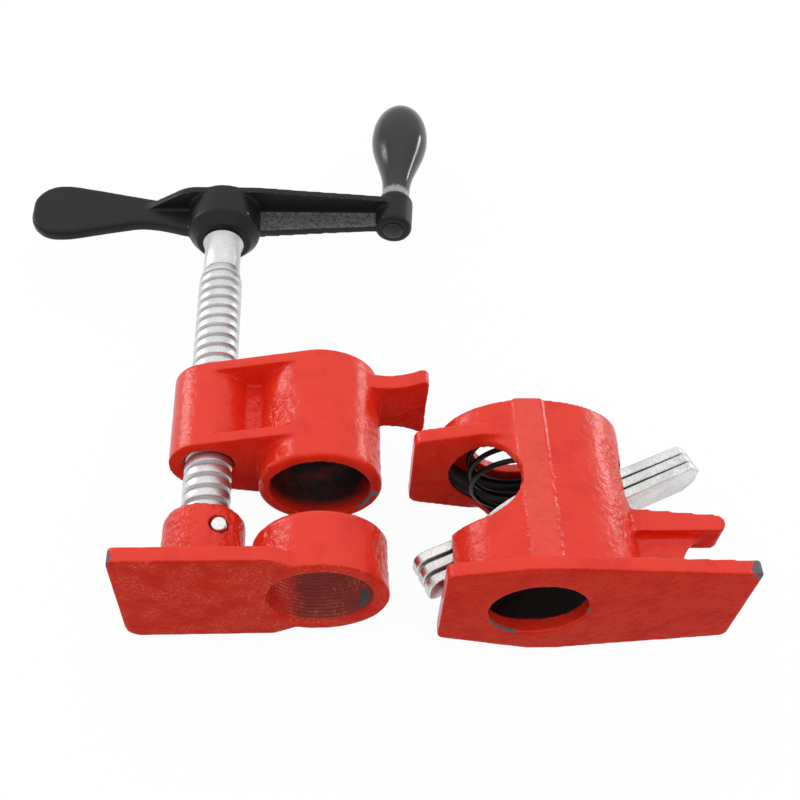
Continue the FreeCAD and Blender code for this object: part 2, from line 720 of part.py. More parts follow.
def make_tail_jaw():
    body = new_body("tail_jaw")
    extrude(body, "PartDesign::Pad", add_sketch(body, "TailPlate", "XZ_Plane", tail_outline()),
            "0", "tail_plate_width")
    shell = egg_outline(size.tail_body_left, size.tail_body_right, size.tail_body_half)
    extrude(body, "PartDesign::Pad", add_sketch(body, "TailBody", "XZ_Plane", shell),
            "0", "tail_length")

    def at_body_root(edge):
        return lies_at(edge, size.tail_plate_width) and edge.Curve.TypeId == "Part::GeomBSplineCurve"

    round_edges(body, "TailRootRound", "tail_root_fillet", at_body_root)
    crown = mirrored_outline([
        (-size.crown_half_width, size.crown_half, size.casting_rounding),
        (size.crown_half_width, size.crown_half, size.casting_rounding),
    ])
    extrude(body, "PartDesign::Pad", add_sketch(body, "Crown", "XZ_Plane", crown), "0", "tail_length")
    ear = mirrored_outline([
        (-size.ear_reach, size.ear_end_half, size.ear_corner_radius),
        (-size.ear_root_reach, size.ear_root_half, size.ear_corner_radius),
        (0, size.ear_root_half, 0),
    ])
    extrude(body, "PartDesign::Pad", add_sketch(body, "Ear", "XZ_Plane", ear),
            "window_middle + window_radius", "ear_width")
    lug = rounded_outline([
        (size.lug_root_reach, size.lug_front, 0),
        (size.lug_reach, size.lug_front, size.lug_tip_radius * 0.7),
        (size.lug_reach, size.lug_tip_rear, size.lug_tip_radius * 0.7),
        (size.lug_root_reach, size.lug_root_rear, 0),
    ])
    extrude_level(body, "PartDesign::Pad", add_sketch(body, "Lug", "XY_Plane", lug), "lug_half")
    plate_end = point(size.lug_web_plate_reach, size.tail_plate_width)
    lug_end = point(size.lug_web_tip_reach, size.lug_front)
    web_root = size.lug_root_reach
    web_middle = point(size.lug_web_plate_reach, (size.tail_plate_width + size.lug_front) / 2)
    web = [
        line(point(web_root, size.tail_plate_width), plate_end),
        Part.Arc(plate_end, web_middle, lug_end),
        line(lug_end, point(web_root, size.lug_front)),
        line(point(web_root, size.lug_front), point(web_root, size.tail_plate_width)),
    ]
    extrude_level(body, "PartDesign::Pad", add_sketch(body, "LugWeb", "XY_Plane", web), "lug_web_half")
    cavity = egg_outline(size.tail_body_left - size.tail_wall, size.tail_body_right - size.tail_wall,
                         size.tail_body_half - size.tail_wall)
    extrude(body, "PartDesign::Pocket", add_sketch(body, "Cavity", "XZ_Plane", cavity),
            "tail_plate_width", "tail_length - tail_rear_wall - tail_plate_width")
    extrude(body, "PartDesign::Pocket", add_circle(body, "PipeBore", "tail_bore_radius"),
            "0", "tail_length")
    window_front = size.window_middle - size.window_radius
    window_rear = size.window_middle + size.window_radius
    window_left = -size.window_reach - size.cut_overrun
    window = [
        line(point(window_left, window_front), point(-size.window_reach, window_front)),
        Part.Arc(point(-size.window_reach, window_front),
                 point(size.window_radius - size.window_reach, size.window_middle),
                 point(-size.window_reach, window_rear)),
        line(point(-size.window_reach, window_rear), point(window_left, window_rear)),
        line(point(window_left, window_rear), point(window_left, window_front)),
    ]
    extrude_level(body, "PartDesign::Pocket", add_sketch(body, "Window", "XY_Plane", window),
                  "tail_middle_bottom + cut_overrun")
    tongue_side = -size.tail_body_left + size.tail_wall * 2
    tongue_slot = polygon([
        (tongue_side, size.tongue_slot_front),
        (tongue_side, size.window_middle),
        (window_left, size.window_middle),
        (window_left, size.tongue_slot_front),
    ])
    extrude_level(body, "PartDesign::Pocket", add_sketch(body, "TongueSlot", "XY_Plane", tongue_slot),
                  "clutch_tongue_half + slot_clearance")
    tab_side = size.tail_body_right - size.tail_wall * 3
    bevel_slope = math.tan(math.radians(size.clutch_tilt + size.tab_bevel_relief))
    tab_bevel = (size.clutch_pivot_reach - tab_side) * bevel_slope
    tab_slot = polygon([
        (tab_side, size.tab_slot_front - tab_bevel),
        (size.clutch_pivot_reach, size.tab_slot_front),
        (size.lug_reach, size.tab_slot_front),
        (size.lug_reach, size.tab_slot_rear),
        (tab_side, size.tab_slot_rear),
    ])
    extrude_level(body, "PartDesign::Pocket", add_sketch(body, "TabSlot", "XY_Plane", tab_slot),
                  "clutch_tab_half + slot_clearance")
    bind(body, "Placement.Base.x", "tail_place_x")
    bind(body, "Placement.Base.y", "tail_place_y")
    bind(body, "Placement.Base.z", "tail_place_z")
    return body


def make_clutch_plate(number):
    """One of the three equal plates, counted from the front: disc, lever tab and short tongue."""
    body = new_body(f"clutch_plate_{number}")
    disc = add_circle(body, f"ClutchDisc{number}", "clutch_disc_radius")
    extrude(body, "PartDesign::Pad", disc, "0", "clutch_width")
    tab_end = size.clutch_tab_reach
    cut = size.clutch_tab_chamfer
    lever = mirrored_outline([
        (-size.clutch_tongue_reach, size.clutch_tongue_half, size.clutch_tongue_corner),
        (0, size.clutch_tongue_half, 0),
        (0, size.clutch_tab_half, 0),
        (tab_end - cut, size.clutch_tab_half, 0),
        (tab_end, size.clutch_tab_half - cut, 0),
    ])
    extrude(body, "PartDesign::Pad", add_sketch(body, f"ClutchLever{number}", "XZ_Plane", lever),
            "0", "clutch_width")
    bore = add_circle(body, f"ClutchBore{number}", "clutch_bore_radius")
    extrude(body, "PartDesign::Pocket", bore, "0", "clutch_width")
    return body


def clutch_place(number):
    """Where a clutch plate's body stands at rest: tilted, its left end forward, in the tab slot."""
    pivot = FreeCAD.Vector(size.tail_place_x + size.clutch_pivot_reach,
                           size.tail_place_y + size.tab_slot_front, size.tail_place_z)
    tilt = size.clutch_tilt - (number - 1) * size.clutch_tilt_step
    turned = FreeCAD.Rotation(FreeCAD.Vector(0, 0, 1), tilt)
    depth = (number - 1) * (size.clutch_width + size.clutch_gap)
    from_pivot = turned.multVec(point(-size.clutch_neck_reach, depth))
    return FreeCAD.Placement(pivot + from_pivot, turned)


def arc_towards(start, corner, end):
    """The arc from start to end whose end tangents meet at corner."""
    middle = (start + end) / 2
    half_chord = (end - start).Length / 2
    rise = corner - middle
    turned = math.atan(rise.Length / half_chord)
    rise.normalize()
    return Part.Arc(start, middle + rise * (half_chord * math.tan(turned / 2)), end)


def biarc(start, start_way, end, end_way):
    """Two tangent arcs from start to end, leaving along start_way and arriving along end_way."""
    chord = end - start
    ways = start_way + end_way
    along = chord.dot(ways)
    spread = 2 * (1 - start_way.dot(end_way))
    reach = (math.sqrt(along ** 2 + spread * chord.dot(chord)) - along) / spread
    start_corner = start + start_way * reach
    end_corner = end - end_way * reach
    joint = (start_corner + end_corner) / 2
    return [arc_towards(start, start_corner, joint), arc_towards(joint, end_corner, end)]


def spring_point(turned, front, pitch):
    """Place and direction on the spring's helix, turned radians on from its front end."""
    radius = size.spring_radius
    place = FreeCAD.Vector(radius * math.cos(turned), front + pitch * turned / (2 * math.pi),
                           radius * math.sin(turned))
    way = FreeCAD.Vector(-radius * math.sin(turned), pitch / (2 * math.pi), radius * math.cos(turned))
    way.normalize()
    return place, way


def make_clutch_spring():
    """One unbroken round wire, wound from the rear clutch plate back to the tail jaw's rear wall."""
    rear = size.tail_length - size.tail_rear_wall - size.spring_wire_radius - size.seat_clearance
    pitch = (rear - size.spring_front) / size.spring_turns
    quarters = int(4 * size.spring_turns)
    edges = []
    for quarter in range(quarters):
        start = spring_point(quarter * math.pi / 2, size.spring_front, pitch)
        end = spring_point((quarter + 1) * math.pi / 2, size.spring_front, pitch)
        edges += [arc.toShape() for arc in biarc(*start, *end)]
    route = Part.Wire(edges)
    place, way = spring_point(0, size.spring_front, pitch)
    section = Part.Wire([Part.makeCircle(size.spring_wire_radius, place, way)])
    spring = document.addObject("Part::Feature", "clutch_spring")
    spring.Label = "clutch_spring"
    spring.Shape = route.makePipeShell([section], True, False)
    spring.Placement = FreeCAD.Placement(
        FreeCAD.Vector(size.tail_place_x, size.tail_place_y, size.tail_place_z), FreeCAD.Rotation())
    least = min(
        (spring_point(first / 4, 0, pitch)[0] - spring_point(second / 4, 0, pitch)[0]).Length
        for first in range(int(8 * math.pi * size.spring_turns))
        for second in range(first + 16, int(8 * math.pi * size.spring_turns)))
    print(f"clutch_spring: least gap to itself {least - 2 * size.spring_wire_radius:.2f} mm")
    return spring


pieces = [make_fixed_head(), make_moving_jaw(), make_jaw_retaining_pin(), make_spindle(),
          make_crank_handle(), make_crank_knob(), make_knob_rivet(), make_tail_jaw()]
for number in (1, 2, 3):
    plate = make_clutch_plate(number)
    plate.Placement = clutch_place(number)
    pieces.append(plate)
pieces.append(make_clutch_spring())
document.recompute()

for item in document.Objects:
    if {"Invalid", "Error"} & set(item.State):
        raise RuntimeError(f"{item.Name} failed: {item.State}")
for piece in pieces:
    shape = piece.Shape
    if shape.isNull() or not shape.isValid() or len(shape.Solids) != 1:
        raise RuntimeError(f"{piece.Label} is not one whole solid")
os.makedirs("parts", exist_ok=True)
for piece in pieces:
    piece.Shape.exportStep(f"parts/{piece.Label}.step")
    print(f"{piece.Label}: {piece.Shape.Volume / 1000:.2f} cm3")
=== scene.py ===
# %% [markdown]
# # A pipe clamp, dressed for the camera
#
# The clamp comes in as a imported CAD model: a fixed head, a moving jaw on a screw with a crank,
# and a tail jaw with three clutch plates. Its places, sizes and joints are settled there. This
# lesson gives each piece what a CAD solid lacks: the soft, lumpy skin of a painted casting, a
# real thread on the screw, broken edges on stamped plates, and paint, zinc and bare steel.

# %% Load the frame
import math

import bmesh
import bpy
from mathutils import Matrix, Vector


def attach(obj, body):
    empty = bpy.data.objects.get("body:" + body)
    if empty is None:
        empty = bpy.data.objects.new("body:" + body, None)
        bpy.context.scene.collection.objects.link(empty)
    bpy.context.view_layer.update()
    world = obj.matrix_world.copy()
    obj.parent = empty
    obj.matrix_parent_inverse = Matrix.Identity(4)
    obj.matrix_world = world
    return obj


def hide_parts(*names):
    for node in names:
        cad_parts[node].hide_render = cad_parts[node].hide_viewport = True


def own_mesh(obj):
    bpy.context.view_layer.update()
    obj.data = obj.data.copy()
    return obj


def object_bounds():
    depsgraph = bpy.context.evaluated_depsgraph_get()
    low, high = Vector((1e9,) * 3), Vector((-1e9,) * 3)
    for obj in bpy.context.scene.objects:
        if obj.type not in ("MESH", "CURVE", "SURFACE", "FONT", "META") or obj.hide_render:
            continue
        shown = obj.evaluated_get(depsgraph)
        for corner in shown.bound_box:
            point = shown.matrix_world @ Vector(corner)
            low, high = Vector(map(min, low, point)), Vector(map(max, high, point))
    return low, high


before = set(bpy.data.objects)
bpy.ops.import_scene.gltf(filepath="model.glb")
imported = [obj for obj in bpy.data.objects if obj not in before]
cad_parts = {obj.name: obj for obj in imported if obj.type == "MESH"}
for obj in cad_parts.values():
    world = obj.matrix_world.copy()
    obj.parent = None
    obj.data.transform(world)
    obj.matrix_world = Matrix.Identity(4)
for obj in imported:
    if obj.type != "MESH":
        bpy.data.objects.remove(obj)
cad_lowest, cad_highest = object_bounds()
MM = 0.001
print("CAD box in mm:", [round((high - low) / MM, 1) for low, high in zip(cad_lowest, cad_highest)])

# %% [markdown]
# ## The places that the pieces share
#
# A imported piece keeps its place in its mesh, so every new piece is built in the same frame, in
# metres, with its object left at the origin. Three more places are enough to build the rest. The
# screw stands on its own axis. The knob leans outwards at the end of the crank's arm. The tail jaw
# lies beside the head, so its spots are given from its own bore.

# %% Shared places
SCREW_PLACE = Matrix.Translation(Vector((-33, 0, 0)) * MM)
KNOB_FOOT = Vector((59.5, 116.3, 0)) * MM
KNOB_LEAN = Matrix.Rotation(math.radians(-5.2), 4, "Z")
KNOB_PLACE = (SCREW_PLACE @ Matrix.Translation(KNOB_FOOT) @ KNOB_LEAN
              @ Matrix.Translation((0, -KNOB_FOOT.y, 0)))
TAIL_PLACE = Matrix.Translation(Vector((59.8, -41.1, 2.3)) * MM)


def spot(x, y, z):
    """A place given in millimetres."""
    return Vector((x, y, z)) * MM


# %% [markdown]
# ## From a form to a finished piece
#
# A bmesh is Blender's own mesh in Python's hands, and its operators are the tools of Edit Mode.
# Each piece starts in one. When its shape is done it becomes a mesh object that rides on a CAD
# body and stands for the CAD node under it, which it hides.

# %% Helpers for a piece
def new_piece(name, form, body, nodes):
    """Turn a bmesh into an object that rides on a body and stands for CAD nodes."""
    mesh = bpy.data.meshes.new(name)
    form.to_mesh(mesh)
    form.free()
    piece = bpy.data.objects.new(name, mesh)
    bpy.context.scene.collection.objects.link(piece)
    piece.data.shade_smooth()
    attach(piece, body)
    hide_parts(*nodes)
    return piece


def cad_form(node):
    """A merged bmesh copy of a CAD node, whose own mesh is loose triangles."""
    form = bmesh.new()
    form.from_mesh(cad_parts[node].data)
    bmesh.ops.remove_doubles(form, verts=form.verts, dist=0.002 * MM)
    return form


def freeze(piece):
    """Replace a piece's mesh by what its modifiers make of it."""
    graph = bpy.context.evaluated_depsgraph_get()
    mesh = bpy.data.meshes.new_from_object(piece.evaluated_get(graph))
    piece.modifiers.clear()
    piece.data = mesh
    mesh.materials.clear()
    mesh.shade_smooth()
    print(f"{piece.name}: {len(mesh.polygons)} faces")


# %% [markdown]
# ## Sand castings
#
# The head and both jaws are poured in sand and dipped in paint, and the crank is cast too. Such
# a skin has no sharp edge and no true plane. Bevelling every edge of a CAD copy would fail where
# fillets meet. A voxel remesh gives even faces first, and a few rounds of smoothing then soften
# each edge by about a millimetre. Cloud textures push the skin in here and there: shallow waves
# everywhere, and deeper grains only where the sand was coarse, by a vertex group. The push only
# goes inwards, so the casting stays inside its CAD box. The head also has two small lumps of iron,
# which are spheres until the remesh joins them to it.

# %% Castings
def weigh(piece, name, spots):
    """A vertex group that is 1 at each spot and fades to 0 at its reach."""
    group = piece.vertex_groups.new(name=name)
    for vert in piece.data.vertices:
        share = max(1 - (vert.co - place).length / reach for place, reach in spots)
        if share > 0:
            group.add([vert.index], min(2 * share, 1), "REPLACE")


def clouds(piece, name, size, depth, group=""):
    """Push the skin inwards by up to depth where a cloud texture is dark."""
    texture = bpy.data.textures.new(f"{piece.name} {name}", "CLOUDS")
    texture.noise_scale = size
    texture.noise_depth = 2
    skin = piece.modifiers.new(name, "DISPLACE")
    skin.texture = texture
    skin.texture_coords = "LOCAL"
    skin.strength = depth
    skin.mid_level = 1
    skin.vertex_group = group


def casting(name, node, body, voxel, rounds, coarse, lumps=()):
    """A casting's soft and slightly uneven copy of its CAD node."""
    form = cad_form(node)
    for place, radius in lumps:
        bmesh.ops.create_icosphere(form, subdivisions=3, radius=radius, matrix=Matrix.Translation(place))
    piece = new_piece(name, form, body, [node])
    even = piece.modifiers.new("Even faces", "REMESH")
    even.mode = "VOXEL"
    even.voxel_size = voxel
    soft = piece.modifiers.new("Soft edges", "SMOOTH")
    soft.factor = 0.5
    soft.iterations = rounds
    freeze(piece)
    clouds(piece, "Sand waves", 9 * MM, 0.22 * MM)
    clouds(piece, "Fine sand", 2 * MM, 0.08 * MM)
    if coarse:
        weigh(piece, "Coarse", coarse)
        clouds(piece, "Coarse sand", 1.8 * MM, 0.7 * MM, "Coarse")
    freeze(piece)
    return piece


head_casting = casting("head_casting", "fixed_head", "head",
                       voxel=0.5 * MM, rounds=4,
                       coarse=[(spot(-19, 24, 5), 9 * MM), (spot(27, 30, -4), 13 * MM),
                               (spot(-18, 2, 6), 9 * MM), (spot(-12, 20, 14), 8 * MM),
                               (spot(17, 10, 5), 10 * MM)],
                       lumps=[(spot(-10.3, 3.6, 14.7), 1.3 * MM), (spot(-15, 1.2, 11), 1.1 * MM)])
jaw_casting = casting("jaw_casting", "moving_jaw", "jaw",
                      voxel=0.5 * MM, rounds=4,
                      coarse=[(spot(-33, -17, 8), 19 * MM), (spot(-14, -25, 8), 11 * MM),
                              (spot(18, -26, 5), 10 * MM)])
tail_casting = casting("tail_casting", "tail_jaw", "tail",
                       voxel=0.6 * MM, rounds=3,
                       coarse=[(TAIL_PLACE @ spot(-1, 12, 22), 11 * MM),
                               (TAIL_PLACE @ spot(-1, 30, 22), 12 * MM),
                               (TAIL_PLACE @ spot(28, 20, 8), 11 * MM),
                               (TAIL_PLACE @ spot(28, 42, 8), 12 * MM)])
crank_casting = casting("crank_casting", "crank_handle", "screw",
                        voxel=0.42 * MM, rounds=4, coarse=[])

# %% [markdown]
# ## The rolled screw
#
# The screw has a coarse right-hand thread, 14 mm by 4 mm, with flat crests and narrow grooves.
# Blender has no thread tool, but a spin that also moves along its axis is one. The outline of a
# single pitch is spun through all the turns, and each turn's end lands on the next one's start,
# so merging doubles closes the surface. Near the neck the thread fades out as a rolled thread
# does. The nose, the neck and the peened head are a lathe form inside it.

# %% Lathe and thread
PITCH = 4 * MM
CREST_RADIUS = 7.05 * MM
ROOT_RADIUS = 6.25 * MM
NECK_RADIUS = 6.05 * MM
FIRST_GROOVE = -17.3 * MM
THREAD_START = -10.6 * MM
THREAD_END = 85.9 * MM
FADE = 5 * MM
STEPS_A_TURN = 48


def wire(form, corners):
    """A chain of edges through (radius, place) corners, given in millimetres."""
    verts = [form.verts.new((radius * MM, place * MM, 0)) for radius, place in corners]
    return verts, [form.edges.new(pair) for pair in zip(verts, verts[1:])]


def lathe(form, corners, steps=96):
    """Turn an outline of (radius, place) corners round the Y axis."""
    verts, edges = wire(form, corners)
    bmesh.ops.spin(form, geom=verts + edges, axis=(0, 1, 0), cent=(0, 0, 0), angle=2 * math.pi,
                   steps=steps, use_merge=True)
    bmesh.ops.remove_doubles(form, verts=form.verts, dist=0.005 * MM)
    bmesh.ops.dissolve_degenerate(form, dist=0.005 * MM, edges=form.edges)
    bmesh.ops.recalc_face_normals(form, faces=form.faces)


def screw_thread():
    """The threaded length as a closed form round the Y axis."""
    form = bmesh.new()
    root, crest = ROOT_RADIUS / MM, CREST_RADIUS / MM
    turns = math.ceil((THREAD_END - FIRST_GROOVE) / PITCH) + 1
    outline = [(root, 0), (root, 0.3), (crest, 0.8), (crest, 3.2), (root, 3.7), (root, 4)]
    verts, _ = wire(form, [(radius, FIRST_GROOVE / MM + place) for radius, place in outline])
    bmesh.ops.bevel(form, geom=verts[1:-1], offset=0.25 * MM, segments=3, profile=0.5,
                    affect="VERTICES", material=-1)
    bmesh.ops.spin(form, geom=form.verts[:] + form.edges[:], axis=(0, 1, 0), cent=(0, 0, 0),
                   dvec=(0, PITCH / STEPS_A_TURN, 0), angle=2 * math.pi * turns,
                   steps=turns * STEPS_A_TURN)
    bmesh.ops.remove_doubles(form, verts=form.verts, dist=0.01 * MM)
    for vert in form.verts:
        share = min(max((vert.co.y - THREAD_END + FADE) / FADE, 0), 1)
        radius = math.hypot(vert.co.x, vert.co.z)
        grow = 1 + (NECK_RADIUS / radius - 1) * share
        vert.co.x *= grow
        vert.co.z *= grow
    for place, side in ((THREAD_START, -1), (THREAD_END, 1)):
        bmesh.ops.bisect_plane(form, geom=form.verts[:] + form.edges[:] + form.faces[:],
                               plane_co=(0, place, 0), plane_no=(0, side, 0), clear_outer=True)
    bmesh.ops.holes_fill(form, edges=[edge for edge in form.edges if edge.is_boundary], sides=0)
    return form


screw_form = screw_thread()
shaft = [(0, -26.9), (5.2, -26.9), (6, -26.1), (6, -19.45), (2.6, -19.45), (2.6, -14.55), (6, -14.55),
         (6, -10.6), (5.8, -9), (5.8, 84), (6.05, 85.6), (6.05, 98.3), (6.75, 98.7), (6.9, 99.2),
         (6.9, 99.6), (6.05, 99.6), (6.05, 116.3), (7.6, 116.3), (7.6, 116.8), (6.9, 117.4),
         (0, 117.6)]
shaft_form = bmesh.new()
lathe(shaft_form, shaft)
shaft_mesh = bpy.data.meshes.new("shaft")
shaft_form.to_mesh(shaft_mesh)
shaft_form.free()
screw_form.from_mesh(shaft_mesh)
bmesh.ops.recalc_face_normals(screw_form, faces=screw_form.faces)
bmesh.ops.transform(screw_form, matrix=SCREW_PLACE, verts=screw_form.verts)
screw = new_piece("threaded_spindle", screw_form, "screw", ["spindle"])
print("screw faces:", len(screw.data.polygons))

# %% [markdown]
# ## The knob and its rivet
#
# The knob is a teardrop that turns on a rivet, so it is a lathe form as well. A few points draw
# its outline, and a subdivision surface rounds them into one sweep. The rivet's head sits in a
# recess at the knob's end, and its shank is peened to a low dome behind the arm.

# %% Knob and rivet
knob_form = bmesh.new()
lathe(knob_form, [(2.55, 121.1), (4.7, 121.1), (5.2, 121.3), (5.0, 123.5), (4.85, 127.1), (5.3, 132),
                  (6.9, 138), (8.8, 144), (10.1, 149), (10.4, 153.5), (10.0, 158.5), (8.7, 163),
                  (6.6, 166.4), (4.6, 168.1), (3.9, 168.5), (3.7, 168.2), (3.7, 166.2), (2.55, 166.2),
                  (2.55, 121.1)], steps=64)
bmesh.ops.transform(knob_form, matrix=KNOB_PLACE, verts=knob_form.verts)
knob = new_piece("teardrop_knob", knob_form, "knob", ["crank_knob"])
sweep = knob.modifiers.new("Sweep", "SUBSURF")
sweep.levels = sweep.render_levels = 1
freeze(knob)

rivet_form = bmesh.new()
lathe(rivet_form, [(0, 105.4), (1.6, 105.5), (2.8, 105.8), (3.5, 106.2), (3.6, 106.4), (2.5, 106.4),
                   (2.5, 166.5), (3.5, 166.5), (3.4, 167.4), (2.6, 168.1), (0, 168.3)])
bmesh.ops.transform(rivet_form, matrix=KNOB_PLACE, verts=rivet_form.verts)
rivet = new_piece("knob_rivet_steel", rivet_form, "screw", ["knob_rivet"])

# %% [markdown]
# ## Stamped plates and the pin
#
# The three clutch plates are stamped from thick strip and plated. Their CAD shape is right but
# its edges are razor sharp. Dissolving the flat triangles leaves clean faces, and then every edge
# sharper than thirty degrees gets a small round bevel, which is what catches the light.

# %% Plates and pin
def broken_edges(name, node, body, width):
    """A CAD node's copy with every sharp edge broken by a small round."""
    form = cad_form(node)
    bmesh.ops.dissolve_limit(form, angle_limit=math.radians(1), verts=form.verts, edges=form.edges)
    sharp = [edge for edge in form.edges if edge.is_manifold and edge.calc_face_angle(0) > math.radians(30)]
    bmesh.ops.bevel(form, geom=sharp, offset=width, segments=3, profile=0.5, affect="EDGES",
                    material=-1, clamp_overlap=True)
    bmesh.ops.triangulate(form, faces=form.faces)
    piece = new_piece(name, form, body, [node])
    piece.data.set_sharp_from_angle(angle=math.radians(40))
    print(f"{name}: {len(piece.data.polygons)} faces")
    return piece


plates = [broken_edges(f"stamped_plate_{number}", f"clutch_plate_{number}", f"clutch_{number}",
                       0.4 * MM) for number in (1, 2, 3)]
pin = broken_edges("retaining_pin_steel", "jaw_retaining_pin", "jaw", 0.25 * MM)

# %% [markdown]
# ## The clutch spring
#
# A round wire is wound three times between the rear plate and the tail jaw's back wall. It is a
# circle spun three turns with a steady move along the axis, and its two cut ends are filled.

# %% Spring
SPRING_RADIUS = 15.2
WIRE_RADIUS = 0.8
SPRING_TURNS = 3
SPRING_FRONT, SPRING_REAR = 38.7, 52.9

spring_form = bmesh.new()
ring = bmesh.ops.create_circle(spring_form, segments=14, radius=WIRE_RADIUS * MM)["verts"]
bmesh.ops.translate(spring_form, verts=ring, vec=Vector((SPRING_RADIUS, SPRING_FRONT, 0)) * MM)
spring_steps = 64 * SPRING_TURNS
climb = (SPRING_REAR - SPRING_FRONT) / spring_steps * MM
bmesh.ops.spin(spring_form, geom=spring_form.verts[:] + spring_form.edges[:], axis=(0, -1, 0),
               cent=(0, 0, 0), dvec=(0, climb, 0), angle=2 * math.pi * SPRING_TURNS, steps=spring_steps)
bmesh.ops.holes_fill(spring_form, edges=[edge for edge in spring_form.edges if edge.is_boundary], sides=0)
bmesh.ops.recalc_face_normals(spring_form, faces=spring_form.faces)
bmesh.ops.transform(spring_form, matrix=TAIL_PLACE, verts=spring_form.verts)
spring = new_piece("spring_wire", spring_form, "tail", ["clutch_spring"])
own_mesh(spring)

# %% [markdown]
# ## Writing a finish
#
# A finish is a sum of patterns, and sums read best as sums. The small class below wraps the
# output of a node, so that `grain * 0.3 + 0.1` adds the Math nodes it stands for. Every other
# node comes from one method, which sets the node's own settings first and its sockets after. The
# same method serves the table and the studio's light, so they are written the same way.

# %% Shader helpers
class Pattern:
    """A node's output inside a finish, with the arithmetic of numbers."""

    def __init__(self, finish, socket):
        self.finish = finish
        self.socket = socket

    def math(self, operation, *values):
        return self.finish.node("ShaderNodeMath", {"operation": operation}, dict(enumerate(values)))

    def __add__(self, other):
        return self.math("ADD", self, other)

    __radd__ = __add__

    def __mul__(self, other):
        return self.math("MULTIPLY", self, other)

    __rmul__ = __mul__

    def __sub__(self, other):
        return self.math("SUBTRACT", self, other)

    def __rsub__(self, other):
        return self.math("SUBTRACT", other, self)


class Finish:
    """The nodes of a material or of the world."""

    def __init__(self, owner):
        owner.use_nodes = True
        self.tree = owner.node_tree
        self.tree.nodes.clear()

    def node(self, kind, settings=None, sockets=None, output=0):
        """Add a node: its settings first, then the values or links of its sockets."""
        made = self.tree.nodes.new(kind)
        for name, value in (settings or {}).items():
            setattr(made, name, value)
        for name, value in (sockets or {}).items():
            if isinstance(value, Pattern):
                self.tree.links.new(value.socket, made.inputs[name])
            else:
                made.inputs[name].default_value = value
        return Pattern(self, made.outputs[output]) if made.outputs else None

    def vector(self, operation, *values, output=0):
        return self.node("ShaderNodeVectorMath", {"operation": operation}, dict(enumerate(values)), output)

    def step(self, value, low, high):
        """Zero at low, one at high and a smooth rise between; low may be the larger."""
        return self.node("ShaderNodeMapRange", {"interpolation_type": "SMOOTHSTEP"},
                         {"Value": value, "From Min": low, "From Max": high}, "Result")

    def mix(self, share, first, second):
        """A colour between two others."""
        return self.node("ShaderNodeMix", {"data_type": "RGBA"},
                         {"Factor": share, "A": first, "B": second}, "Result")


class Coat(Finish):
    """A finish on a piece, whose patterns are laid out from a place of their own."""

    def __init__(self, piece, name, place=SCREW_PLACE):
        material = bpy.data.materials.new(f"{piece.name}_{name}")
        super().__init__(material)
        piece.data.materials.clear()
        piece.data.materials.append(material)
        back = place.inverted()
        own = self.node("ShaderNodeTexCoord", output="Object")
        self.place = self.node("ShaderNodeMapping", {}, {"Vector": own, "Location": back.to_translation(),
                                                         "Rotation": back.to_euler()})
        self.right, self.depth, self.up = (
            self.node("ShaderNodeSeparateXYZ", {}, {"Vector": self.place}, axis) for axis in "XYZ")
        self.across = self.vector("MULTIPLY", self.place, (1, 0, 1))
        self.radius = self.vector("LENGTH", self.across, output="Value")
        self.normal = self.node("ShaderNodeNewGeometry", {}, {}, "Normal")
        self.forwards = self.vector("DOT_PRODUCT", self.normal, (0, -1, 0), output="Value")
        self.upwards = self.vector("DOT_PRODUCT", self.normal, (0, 0, 1), output="Value")

    def noise(self, size, detail=2.0, rough=0.5):
        """Soft noise whose lumps are about size metres across."""
        return self.node("ShaderNodeTexNoise", {}, {"Vector": self.place, "Scale": 1 / size,
                                                    "Detail": detail, "Roughness": rough}, "Fac")

    def near(self, where, reach):
        """One at a spot of the piece and zero beyond reach, with a ragged rim."""
        away = self.vector("DISTANCE", self.place, where, output="Value")
        return self.step(away + (self.noise(reach * 0.8, 3) - 0.5) * (reach * 1.1), reach, reach * 0.82)

    def facing_axis(self, reach):
        """One on walls that look at the Y axis from less than reach away."""
        outwards = self.vector("NORMALIZE", self.across)
        towards = self.vector("DOT_PRODUCT", outwards, self.normal, output="Value")
        return self.step(towards, -0.2, -0.6) * self.step(self.radius, reach + 0.4 * MM, reach)

    def edges(self, grain, low, high):
        """One on sharp outer edges, broken up by a grain."""
        bend = self.node("ShaderNodeNewGeometry", {}, {}, "Pointiness")
        return self.step(bend + (grain - 0.5) * 0.12, low, high)

    def between(self, value, low, high, fade):
        """One where a value lies between two limits."""
        return self.step(value, low - fade, low) * self.step(value, high + fade, high)

    def bump(self, height, depth, strength=1.0):
        return self.node("ShaderNodeBump", {}, {"Height": height, "Distance": depth, "Strength": strength},
                         "Normal")

    def shader(self, **sockets):
        """A surface shader, with patterns or values on its sockets."""
        named = {name.replace("_", " "): value for name, value in sockets.items()}
        return self.node("ShaderNodeBsdfPrincipled", {}, named)

    def surface(self, shader):
        self.node("ShaderNodeOutputMaterial", {}, {"Surface": shader})


def colour(red, green, blue):
    return (red, green, blue, 1)
